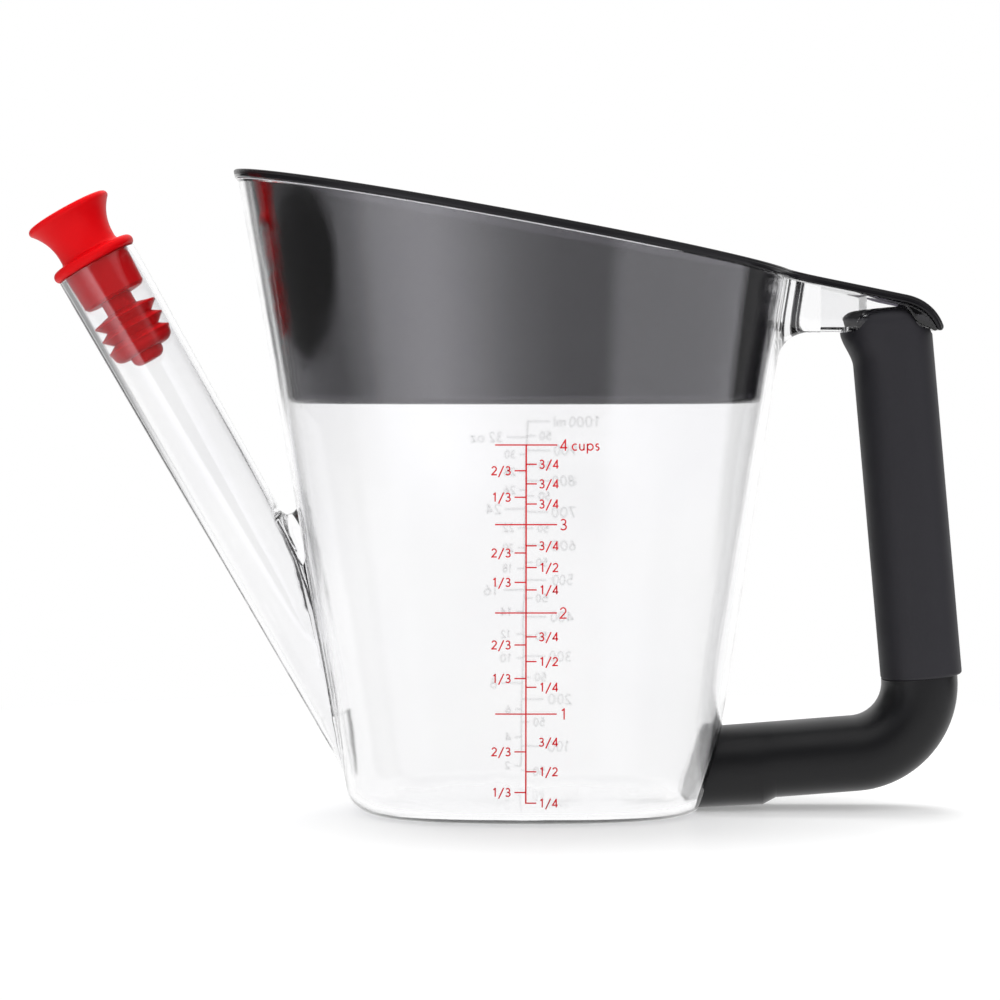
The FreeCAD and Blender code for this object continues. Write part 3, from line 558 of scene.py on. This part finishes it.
def cup_marks(settings):
    """Cups with quarters on the right and thirds on the left."""
    art = Print()
    half_line = settings.line_width / 2
    half_tick = settings.tick_width / 2
    art.bar(-half_line, half_line, mark_height(CUP_LINE_FOOT) - half_tick, mark_height(4) + half_tick)
    for cups in range(1, 5):
        height = mark_height(cups)
        art.bar(-MAJOR_REACH, MAJOR_REACH, height - half_tick, height + half_tick)
        label = "4 cups" if cups == 4 else str(cups)
        art.words(label, MAJOR_LABEL, height, settings.large_digit, settings.stroke_width, "LEFT")
    for whole in range(4):
        for share, label in FRACTION_NAMES.items():
            height = mark_height(whole + share)
            if whole > 0 or share < 0.75:
                art.bar(0, TICK_RIGHT, height - half_tick, height + half_tick)
            text = "3/4" if whole == 3 else label
            art.words(text, LABEL_RIGHT, height, settings.small_digit, settings.stroke_width, "LEFT")
        for thirds in (1, 2):
            height = mark_height(whole + thirds / 3)
            art.bar(-TICK_LEFT, 0, height - half_tick, height + half_tick)
            art.words(f"{thirds}/3", -LABEL_LEFT, height, settings.small_digit, settings.stroke_width, "RIGHT")
    return art.wrap("cup_marks", -1, CUP_LINE_X, 0)


METRIC_LINE_X = -1.9 * MM
METRIC_LINE_LEAN = 0.021
METRIC_TOP_ML = 1000
METRIC_STEP_ML = 50
TOP_OUNCES = 32
OUNCE_STEP = 2
HUNDRED_REACH = 7.0 * MM
FIFTY_REACH = 2.6 * MM
OUNCE_REACH = 2.2 * MM
EIGHT_OUNCE_REACH = 6.5 * MM
METRIC_LABEL_GAP = 1.2 * MM


def metric_marks(settings):
    """Millilitres on one side of the line and ounces on the other."""
    art = Print()
    half_line = settings.line_width / 2
    half_tick = settings.tick_width / 2
    top = mark_height(METRIC_TOP_ML / ML_PER_CUP)
    art.bar(-half_line, half_line, mark_height(CUP_LINE_FOOT), top + half_tick)
    for volume in range(METRIC_STEP_ML, METRIC_TOP_ML + 1, METRIC_STEP_ML):
        height = mark_height(volume / ML_PER_CUP)
        hundred = volume % 100 == 0
        reach = HUNDRED_REACH if hundred else FIFTY_REACH
        size = settings.large_digit if hundred else settings.small_digit
        label = f"{volume} ml" if volume == METRIC_TOP_ML else str(volume if hundred else METRIC_STEP_ML)
        art.bar(-reach, 0, height - half_tick, height + half_tick)
        art.words(label, -reach - METRIC_LABEL_GAP, height, size, settings.stroke_width, "RIGHT")
    for ounces in range(OUNCE_STEP, TOP_OUNCES + 1, OUNCE_STEP):
        height = mark_height(ounces / OUNCES_PER_CUP)
        major = ounces % OUNCES_PER_CUP == 0
        reach = EIGHT_OUNCE_REACH if major else OUNCE_REACH
        size = settings.large_digit if major else settings.small_digit
        art.bar(0, reach, height - half_tick, height + half_tick)
        label = f"{ounces} oz" if ounces == TOP_OUNCES else str(ounces)
        art.words(label, reach + METRIC_LABEL_GAP, height, size, settings.stroke_width, "LEFT")
    return art.wrap("metric_marks", 1, METRIC_LINE_X, METRIC_LINE_LEAN)


# ---- Edge of the strainer's flange and painted highlight bead on the cup's lip ----

# Millimetres and degrees. Tops and feet are heights above the lip.
# The flange's edge shows under the soft band at both sides of the thumb tab.
EDGE_TOP = 0.28
EDGE_FOOT = -0.6
EDGE_THICKNESS = 1.1
EDGE_TAPER = 8.0
EDGE_STEPS = 10
TAB_REACH = 14.0
TAB_SIDE = 12.95
TAB_CORNER_X = 112.14
TAB_CORNER_Y = 5.0
NOSE_STOP = 66.0
NOSE_STEPS = 12
NOSE_DEEPER = 3.0
NOSE_THICKNESS = 0.9
# The bead, a strip of painted highlight just outside the lip, runs round the cup from its spout's end.
BEAD_TOP = 0.26
BEAD_FOOT = -0.12
BEAD_THICKNESS = 0.44
BEAD_SPREAD = 130.0
BEAD_TAPER = 5.0
BEAD_GAP = 0.2
BEAD_STEP = 2.5
CUP_MIDDLE_X = -2.0
CUP_REACH = 98.0
BELOW_LIP = 5.0
LIP_DROPS = (3.0, 0.6)
# Section of both: a rectangle with round corners, which keeps a share of its height where it tapers off.
SECTION_POINTS = 16
SQUARENESS = 0.7
LEAST_SHARE = 0.1


def lip_height(x):
    centre_x, centre_z = lip_centre(CROWN_RADIUS)
    return centre_z + math.sqrt(CROWN_RADIUS ** 2 - (x - centre_x) ** 2)


def tab_stations(side):
    """Stations along one side of the thumb tab and over its nose: place, outward and upward way, share."""
    corner = TAB_SIDE - TAB_CORNER_Y
    stations = []
    for step in range(EDGE_STEPS + 1):
        x = LIP_END[0] - TAB_REACH * (1 - step / EDGE_STEPS)
        share = min(1.0, TAB_REACH * step / EDGE_STEPS / EDGE_TAPER)
        stations.append((x, lip_height(x), math.radians(LIP_FALL), share))
    for step in range(1, NOSE_STEPS + 1):
        turn = math.radians(LIP_FALL + (NOSE_STOP - LIP_FALL) * step / NOSE_STEPS)
        x, z = lip_centre(NOSE_RADIUS)
        place = (x + NOSE_RADIUS * math.sin(turn), z + NOSE_RADIUS * math.cos(turn))
        stations.append((*place, turn, 1.0))
    rows = []
    for x, z, turn, share in stations:
        y = TAB_CORNER_Y + math.sqrt(corner ** 2 - max(0.0, x - TAB_CORNER_X) ** 2)
        up = Vector((math.sin(turn), 0, math.cos(turn)))
        rows.append((Vector((x, side * y, z)), Vector((0, side, 0)), up, share))
    return rows


def cup_wall(way, height):
    """Where the cup's outer wall stands in a level direction from its middle, and how it faces."""
    middle = Vector((CUP_MIDDLE_X, 0, height))
    place, normal, index, gap = CUP_WALLS.ray_cast((middle + CUP_REACH * way) * MM, -way)
    if place is None or (place / MM - middle).dot(way) < 0:
        raise RuntimeError("the lip's bead misses the cup")
    return place / MM, normal


def bead_stations():
    """Stations round the cup, a little outside its wall: place, outward and upward way, share."""
    rows = []
    count = round(BEAD_SPREAD / BEAD_STEP)
    for step in range(-count, count + 1):
        turn = BEAD_SPREAD * step / count
        way = Vector((-math.cos(math.radians(turn)), math.sin(math.radians(turn)), 0))
        # The lip slopes, so its height is found in steps from below its lowest place.
        wall, normal = cup_wall(way, LIP_END[1] - BELOW_LIP)
        for drop in LIP_DROPS:
            wall, normal = cup_wall(way, lip_height(wall.x) - drop)
        out = Vector((normal.x, normal.y, 0)).normalized()
        place = wall + out * BEAD_GAP
        place.z = lip_height(place.x)
        rows.append((place, out, Vector((0, 0, 1)), min(1.0, (BEAD_SPREAD - abs(turn)) / BEAD_TAPER)))
    return rows


def rounded(turn, half):
    """Sine of a turn, pushed towards a square so that the section has round corners."""
    return math.copysign(abs(math.sin(turn)) ** SQUARENESS, math.sin(turn)) * half


def sweep(name, runs, top, foot, thickness):
    """Thin rounded strips along runs of stations, from top to foot above the lip."""
    mesh = bmesh.new()
    for stations in runs:
        rings = []
        for place, out, up, share in stations:
            low = top - (top - foot) * max(LEAST_SHARE, share)
            ring = []
            for point in range(SECTION_POINTS):
                turn = 2 * math.pi * point / SECTION_POINTS
                rise = (top + low) / 2 + rounded(turn, (top - low) / 2)
                corner = place + up * rise + out * rounded(turn + math.pi / 2, thickness / 2)
                ring.append(mesh.verts.new(corner * MM))
            rings.append(ring)
        for first, second in zip(rings, rings[1:]):
            for point in range(SECTION_POINTS):
                after = (point + 1) % SECTION_POINTS
                mesh.faces.new((first[point], first[after], second[after], second[point]))
        mesh.faces.new(rings[0])
        mesh.faces.new(rings[-1])
    bmesh.ops.recalc_face_normals(mesh, faces=mesh.faces[:])
    data = bpy.data.meshes.new(name)
    mesh.to_mesh(data)
    mesh.free()
    data.shade_smooth()
    piece = bpy.data.objects.new(name, data)
    bpy.context.scene.collection.objects.link(piece)
    return piece


def flange_edge():
    """Thin edge of the strainer's flange along both sides of the thumb tab."""
    return sweep("flange_edge", (tab_stations(-1), tab_stations(1)), EDGE_TOP, EDGE_FOOT, EDGE_THICKNESS)


def flange_nose():
    """Down-turned corners of the flange's tongue, deepest half way round the nose."""
    runs = []
    for side in (-1, 1):
        turned = tab_stations(side)[EDGE_STEPS:]
        runs.append([(place, out, up, 1.0 + NOSE_DEEPER * math.sin(math.pi * step / (len(turned) - 1)))
                     for step, (place, out, up, share) in enumerate(turned)])
    return sweep("flange_nose", runs, EDGE_TOP, EDGE_FOOT, NOSE_THICKNESS)


def lip_bead():
    """Painted highlight: milky white strip just outside the clear lip, in place of the bright line that the lip's
    rounded corner shows with the light gathered by the wall.
    """
    return sweep("lip_bead", [bead_stations()], BEAD_TOP, BEAD_FOOT, BEAD_THICKNESS)


# ---- Studio ----

# Brightness of the studio as polished surfaces see it, by compass angle from behind the object (0)
# over the handle's side (90) to the camera's side (180) and back over the spout's side (270).
# The room is what stands beyond the table; the camera's side of it is unlit.
ROOM = (
    (0, 1.07), (60, 1.07), (68, 0.12), (96, 0.12), (110, 0.45), (135, 0.45), (150, 0.14), (172, 0.08), (195, 0.08),
    (205, 0.5), (222, 0.5), (236, 0.14), (324, 0.06), (331, 1.07), (360, 1.07),
)
# The far part of the table carries two soft boxes' patches between dark gaps: an even one on the handle's
# side, and towards the spout a brighter one with broad soft edges.
TABLE = (
    (0, 1.07), (60, 1.07), (68, 0.10), (90, 0.10), (93, 1.20), (158, 1.20), (163, 0.65), (175, 0.70), (180, 0.90),
    (188, 1.50), (198, 1.95), (206, 1.90), (219, 1.60), (228, 1.05), (244, 0.55), (282, 0.55), (300, 0.30),
    (318, 0.30), (326, 1.07), (360, 1.07),
)
# An oval dark flag lies on the table beyond the spout: middle, half size and turn in metres and degrees.
FLAG_MIDDLE = (-0.975, 0.005, 0.0)
FLAG_HALF = (0.50, 0.27, 1.0)
FLAG_TURN = 111.0
FLAG_LEVEL = 0.10
FLAG_EDGE = 0.06
# The table is white near the object; then the patches and the room come in, over these reaches in metres.
NEAR_TABLE = 1.05
TABLE_ZONES = ((TABLE, 0.28, 0.50), (ROOM, 1.15, 1.45))
# The studio is faintly violet, but for the white wall behind the object, between these compass angles.
STUDIO_TINT = (1.0, 0.988, 1.045)
WHITE_FROM = 300
WHITE_TO = 60
CEILING = 1.15
CEILING_START = 0.45
CEILING_END = 0.75
LEAST_THROUGH = 0.25


def surround(tree, direction, levels):
    """Colour of the studio in a direction from the object; no less than a dim grey through clear walls."""
    parts = add(tree, "ShaderNodeSeparateXYZ", None, {"Vector": direction})
    angle = add(tree, "ShaderNodeMath", {"operation": "ARCTAN2"}, {0: parts.outputs["X"], 1: parts.outputs["Y"]})
    turn = add(tree, "ShaderNodeMath", {"operation": "DIVIDE"}, {0: angle.outputs[0], 1: 2 * math.pi})
    share = add(tree, "ShaderNodeMath", {"operation": "FRACT"}, {0: turn.outputs[0]})
    ramp = add(tree, "ShaderNodeValToRGB", None, {"Fac": share.outputs[0]})
    elements = ramp.color_ramp.elements
    elements[0].position = 0.0
    elements[1].position = 1.0
    for angle_degrees, level in levels:
        place = angle_degrees / 360
        if place in (0, 1):
            element = elements[0] if place == 0 else elements[-1]
        else:
            element = elements.new(place)
        behind = not WHITE_TO < angle_degrees < WHITE_FROM
        element.color = grey(level) if behind else (*[level * tint for tint in STUDIO_TINT], 1.0)
    through = add(tree, "ShaderNodeLightPath").outputs["Is Transmission Ray"]
    return add(tree, "ShaderNodeMix", {"data_type": "RGBA", "blend_type": "LIGHTEN"}, {
        0: through, 6: ramp.outputs["Color"], 7: grey(LEAST_THROUGH),
    }).outputs[2], parts.outputs["Z"]


def seen_by_gloss(tree):
    """1 for the camera's own rays, and 1 for rays that a polished or clear surface sends on."""
    path = add(tree, "ShaderNodeLightPath")
    sent_on = add(tree, "ShaderNodeMath", {"operation": "MAXIMUM"}, {
        0: path.outputs["Is Glossy Ray"], 1: path.outputs["Is Transmission Ray"],
    })
    # Light that a matt surface gathers through a clear wall stays the room's even light.
    direct = add(tree, "ShaderNodeMath", {"operation": "LESS_THAN"}, {0: path.outputs["Diffuse Depth"], 1: 0.5})
    return path.outputs["Is Camera Ray"], add(tree, "ShaderNodeMath", {"operation": "MULTIPLY"}, {
        0: sent_on.outputs[0], 1: direct.outputs[0],
    }).outputs[0]


def studio_world(settings):
    world = bpy.data.worlds.new("white studio")
    bpy.context.scene.world = world
    world.use_nodes = True
    tree = world.node_tree
    tree.nodes.clear()
    direction = add(tree, "ShaderNodeTexCoord").outputs["Generated"]
    walls, height = surround(tree, direction, ROOM)
    ceiling = add(tree, "ShaderNodeMapRange", {"interpolation_type": "SMOOTHSTEP"}, {
        "Value": height, "From Min": CEILING_START, "From Max": CEILING_END,
    })
    room = add(tree, "ShaderNodeMix", {"data_type": "RGBA"}, {
        0: ceiling.outputs["Result"], 6: walls, 7: grey(CEILING),
    })
    camera, gloss = seen_by_gloss(tree)
    matt = add(tree, "ShaderNodeMix", {"data_type": "RGBA"}, {
        0: gloss, 6: grey(settings.ambient), 7: room.outputs[2],
    })
    seen = add(tree, "ShaderNodeMix", {"data_type": "RGBA"}, {0: camera, 6: matt.outputs[2], 7: grey(1.0)})
    light = add(tree, "ShaderNodeBackground", None, {"Color": seen.outputs[2]})
    output = add(tree, "ShaderNodeOutputWorld")
    tree.links.new(light.outputs["Background"], output.inputs["Surface"])


FLOOR_ALBEDO = 0.75
FLOOR_LIFT = 0.24
FLOOR_GLOSS = 0.04
FLOOR_POLISH = 0.12
FLOOR_GAP = 0.2 * MM
FADE_START = 0.17
FADE_END = 0.34


def studio_floor(settings):
    """White laminate table top: matt, with a faint polish, that runs out into a white sweep."""
    mesh = bpy.data.meshes.new("studio_floor")
    half = settings.floor_size / 2
    corners = [(-half, -half), (half, -half), (half, half), (-half, half)]
    mesh.from_pydata([(x, y, -FLOOR_GAP) for x, y in corners], [], [(0, 1, 2, 3)])
    floor = bpy.data.objects.new("studio_floor", mesh)
    bpy.context.scene.collection.objects.link(floor)
    material, tree, output = new_material("white laminate table top")
    place = add(tree, "ShaderNodeTexCoord").outputs["Object"]
    reach = add(tree, "ShaderNodeVectorMath", {"operation": "LENGTH"}, {0: place}).outputs["Value"]
    camera, gloss = seen_by_gloss(tree)
    # What matt surfaces and, near the object, the camera see: laminate in the studio's light, with shadows.
    matt = add(tree, "ShaderNodeBsdfDiffuse", None, {"Color": grey(FLOOR_ALBEDO)})
    polish = add(tree, "ShaderNodeBsdfGlossy", None, {"Color": grey(1.0), "Roughness": FLOOR_POLISH})
    top = add(tree, "ShaderNodeMixShader", None, {0: FLOOR_GLOSS, 1: matt.outputs[0], 2: polish.outputs[0]})
    lift = add(tree, "ShaderNodeEmission", None, {"Color": grey(FLOOR_LIFT), "Strength": camera})
    near = add(tree, "ShaderNodeAddShader", None, {0: top.outputs[0], 1: lift.outputs[0]})
    fade = add(tree, "ShaderNodeMapRange", {"interpolation_type": "SMOOTHSTEP"}, {
        "Value": reach, "From Min": FADE_START, "From Max": FADE_END,
    })
    faded = add(tree, "ShaderNodeMath", {"operation": "MULTIPLY"}, {0: fade.outputs["Result"], 1: camera})
    backdrop = add(tree, "ShaderNodeEmission", None, {"Color": grey(1.0)})
    seen = add(tree, "ShaderNodeMixShader", None, {0: faded.outputs[0], 1: near.outputs[0], 2: backdrop.outputs[0]})
    # What polished and clear surfaces see: a white table, the soft boxes' patches further out, then the room.
    table = grey(NEAR_TABLE)
    for levels, start, stop in TABLE_ZONES:
        beyond = add(tree, "ShaderNodeMapRange", {"interpolation_type": "SMOOTHSTEP"}, {
            "Value": reach, "From Min": start, "From Max": stop,
        })
        further, height = surround(tree, place, levels)
        table = add(tree, "ShaderNodeMix", {"data_type": "RGBA"}, {
            0: beyond.outputs["Result"], 6: table, 7: further,
        }).outputs[2]
    across = add(tree, "ShaderNodeMapping", {"vector_type": "TEXTURE"}, {
        "Vector": place, "Location": FLAG_MIDDLE, "Rotation": (0, 0, math.radians(FLAG_TURN)), "Scale": FLAG_HALF,
    })
    off_flag = add(tree, "ShaderNodeVectorMath", {"operation": "LENGTH"}, {0: across.outputs[0]})
    flag = add(tree, "ShaderNodeMapRange", {"interpolation_type": "SMOOTHSTEP"}, {
        "Value": off_flag.outputs["Value"], "From Min": 1 - FLAG_EDGE, "From Max": 1 + FLAG_EDGE,
        "To Min": 1.0, "To Max": 0.0,
    })
    flagged = add(tree, "ShaderNodeMix", {"data_type": "RGBA"}, {
        0: flag.outputs["Result"], 6: table, 7: grey(FLAG_LEVEL),
    })
    mirrored = add(tree, "ShaderNodeEmission", None, {"Color": flagged.outputs[2]})
    whole = add(tree, "ShaderNodeMixShader", None, {0: gloss, 1: seen.outputs[0], 2: mirrored.outputs[0]})
    finish_material(tree, output, whole.outputs[0])
    mesh.materials.append(material)


def soft_sun(name, strength, spread_degrees, azimuth, elevation):
    """Even soft light from a compass angle, measured from the camera's side towards the handle's side."""
    lamp = bpy.data.lights.new(name, "SUN")
    lamp.energy = strength
    lamp.angle = math.radians(spread_degrees)
    lamp.cycles.use_multiple_importance_sampling = False
    carrier = bpy.data.objects.new(name, lamp)
    bpy.context.scene.collection.objects.link(carrier)
    turn = math.radians(azimuth)
    rise = math.radians(elevation)
    source = Vector((math.sin(turn) * math.cos(rise), -math.cos(turn) * math.cos(rise), math.sin(rise)))
    carrier.rotation_mode = "QUATERNION"
    carrier.rotation_quaternion = source.to_track_quat("Z", "Y")
    carrier.visible_glossy = False
    carrier.visible_transmission = False


# Spread, compass angle and elevation of each lamp, in degrees.
KEY_LAMP = (35, -165, 76)
FILL_LAMP = (90, 15, 35)
# Thick clear corners pass a ray to and fro many times before it leaves.
GLOSSY_BOUNCES = 14
CLEAR_BOUNCES = 20
ALL_BOUNCES = 24
CAMERA_PLACE = (-8.08 * MM, -940 * MM, 129.25 * MM)
CAMERA_PITCH = 2.368
CAMERA_LENS = 115.79


def studio_camera():
    lens = bpy.data.cameras.new("camera")
    lens.lens = CAMERA_LENS
    lens.clip_start = 0.01
    camera = bpy.data.objects.new("camera", lens)
    bpy.context.scene.collection.objects.link(camera)
    camera.location = CAMERA_PLACE
    camera.rotation_euler = (math.radians(90 - CAMERA_PITCH), 0, 0)
    bpy.context.scene.camera = camera


# ---- Operators ----

def dress(piece, material):
    """Gives a piece its one material."""
    piece.data.materials.clear()
    piece.data.materials.append(material)


class SEPARATOR_OT_cup(bpy.types.Operator):
    """Dress the clear cup with its spout and arm"""
    bl_idname = "separator.cup"
    bl_label = "Clear cup"

    def execute(self, context):
        cup = evened_copy("pitcher_body", "clear_cup")
        # The strip along the lip is a painted highlight in milky white plastic.
        for piece, material in ((cup, clear_copolyester()), (lip_bead(), lit_corner())):
            dress(piece, material)
            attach(piece, "pitcher")
        return {"FINISHED"}


class SEPARATOR_OT_strainer(bpy.types.Operator):
    """Dress the strainer basket and its soft rim"""
    bl_idname = "separator.strainer"
    bl_label = "Strainer"

    def execute(self, context):
        plastics = context.scene.separator_plastics
        smoke = smoke_copolyester("smoke moulded copolyester", plastics.smoke_tint)
        thin_smoke = smoke_copolyester("smoke moulded copolyester, thin edge", plastics.edge_tint)
        dress(NODES["strainer_basket"], smoke)
        dress(NODES["strainer_rim"], rim_elastomer(plastics.rim_black))
        for piece, material in ((flange_edge(), thin_smoke), (flange_nose(), smoke)):
            dress(piece, material)
            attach(piece, "strainer")
        return {"FINISHED"}


class SEPARATOR_OT_handle(bpy.types.Operator):
    """Dress the handle's elbow and its soft sleeve"""
    bl_idname = "separator.handle"
    bl_label = "Handle"

    def execute(self, context):
        plastics = context.scene.separator_plastics
        dress(NODES["handle_core"], moulded_black(
            "black polypropylene, spark-eroded mould", plastics.elbow_black,
            roughness=0.38, grain_mm=0.5, depth_mm=0.01, shine=0.32))
        dress(NODES["handle_grip"], moulded_black(
            "black thermoplastic elastomer, matt mould", plastics.grip_black,
            roughness=0.60, grain_mm=0.6, depth_mm=0.02, shine=0.45))
        return {"FINISHED"}


class SEPARATOR_OT_stopper(bpy.types.Operator):
    """Dress the stopper in the spout"""
    bl_idname = "separator.stopper"
    bl_label = "Stopper"

    def execute(self, context):
        dress(NODES["spout_stopper"], red_silicone(context.scene.separator_plastics.stopper_red))
        return {"FINISHED"}


class SEPARATOR_OT_marks(bpy.types.Operator):
    """Print the volume marks on the near and the far side of the cup"""
    bl_idname = "separator.marks"
    bl_label = "Volume marks"

    def execute(self, context):
        marks = context.scene.separator_marks
        front = cup_marks(marks)
        dress(front, screen_ink("red screen ink", marks.cup_ink, cover=1.0))
        back = metric_marks(marks)
        dress(back, screen_ink("thin grey screen ink", marks.metric_ink, cover=0.25))
        for print_layer in (front, back):
            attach(print_layer, "pitcher")
        return {"FINISHED"}


class SEPARATOR_OT_stage(bpy.types.Operator):
    """Set up the studio: floor, room light, lamps and camera"""
    bl_idname = "separator.stage"
    bl_label = "Studio"

    def execute(self, context):
        studio = context.scene.separator_studio
        studio_world(studio)
        studio_floor(studio)
        soft_sun("key", studio.key_strength, *KEY_LAMP)
        soft_sun("fill", studio.fill_strength, *FILL_LAMP)
        studio_camera()
        context.scene.view_settings.view_transform = "Standard"
        context.scene.cycles.glossy_bounces = GLOSSY_BOUNCES
        context.scene.cycles.transmission_bounces = CLEAR_BOUNCES
        context.scene.cycles.max_bounces = ALL_BOUNCES
        return {"FINISHED"}


STEPS = (
    SEPARATOR_OT_cup, SEPARATOR_OT_strainer, SEPARATOR_OT_handle, SEPARATOR_OT_stopper, SEPARATOR_OT_marks,
    SEPARATOR_OT_stage,
)
GROUPS = (
    ("separator_plastics", PlasticSettings), ("separator_marks", MarkSettings), ("separator_studio", StudioSettings),
)


class SEPARATOR_PT_panel(bpy.types.Panel):
    """Steps and settings of the fat separator"""
    bl_idname = "SEPARATOR_PT_panel"
    bl_label = "Gravy Fat Separator"
    bl_space_type = "VIEW_3D"
    bl_region_type = "UI"
    bl_category = "Separator"

    def draw(self, context):
        for step in STEPS:
            self.layout.operator(step.bl_idname)
        for name, group in GROUPS:
            box = self.layout.box()
            for setting in group.__annotations__:
                box.prop(getattr(context.scene, name), setting)


def register():
    for name, group in GROUPS:
        bpy.utils.register_class(group)
        setattr(bpy.types.Scene, name, bpy.props.PointerProperty(type=group))
    for kind in (*STEPS, SEPARATOR_PT_panel):
        bpy.utils.register_class(kind)


def unregister():
    for kind in reversed((*STEPS, SEPARATOR_PT_panel)):
        bpy.utils.unregister_class(kind)
    for name, group in reversed(GROUPS):
        delattr(bpy.types.Scene, name)
        bpy.utils.unregister_class(group)


def main():
    """Registers the add-on and makes every piece and the studio."""
    register()
    for step in STEPS:
        family, name = step.bl_idname.split(".")
        getattr(getattr(bpy.ops, family), name)()


if __name__ == "__main__":
    main()
